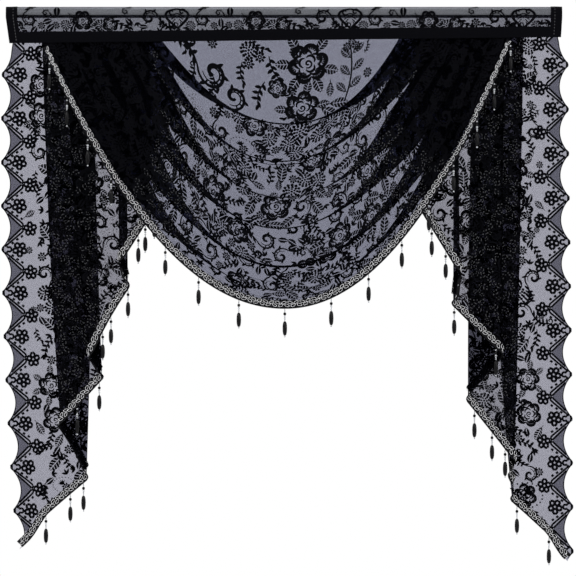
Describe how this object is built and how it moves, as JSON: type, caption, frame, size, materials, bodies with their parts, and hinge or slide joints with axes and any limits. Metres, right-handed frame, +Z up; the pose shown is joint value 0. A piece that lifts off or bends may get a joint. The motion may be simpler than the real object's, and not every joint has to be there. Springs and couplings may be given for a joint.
{
  "type": "lace window swag with rod",
  "caption": "Sheer lace swag draped in curved folds between two cascade tails, gathered under a rod-pocket heading on a slim rod, edged with braid and bead drops.",
  "frame": {"origin": "on the rod's axis, halfway along the rod", "axes": "+Z up, +X along the rod to the right as seen from the room, and the face side of the cloth looks to -Y"},
  "size_m": [1.4068, 0.1249, 1.3775],
  "materials": {
    "rod_metal": "satin",
    "heading_lace": "sheer lace net, matt",
    "swag_lace": "sheer lace net, matt",
    "left_tail_lace": "sheer lace net, matt",
    "right_tail_lace": "sheer lace net, matt",
    "swag_braid": "braid with metallic thread and glass beads",
    "left_braid": "braid with metallic thread and glass beads",
    "right_braid": "braid with metallic thread and glass beads"
  },
  "bodies": {
    "root": {"curtain_rod": "rod_metal", "heading": "heading_lace", "swag_panel": "swag_lace", "left_tail": "left_tail_lace", "right_tail": "right_tail_lace", "swag_trim": "swag_braid", "left_tail_trim": "left_braid", "right_tail_trim": "right_braid"}
  },
  "joints": []
}
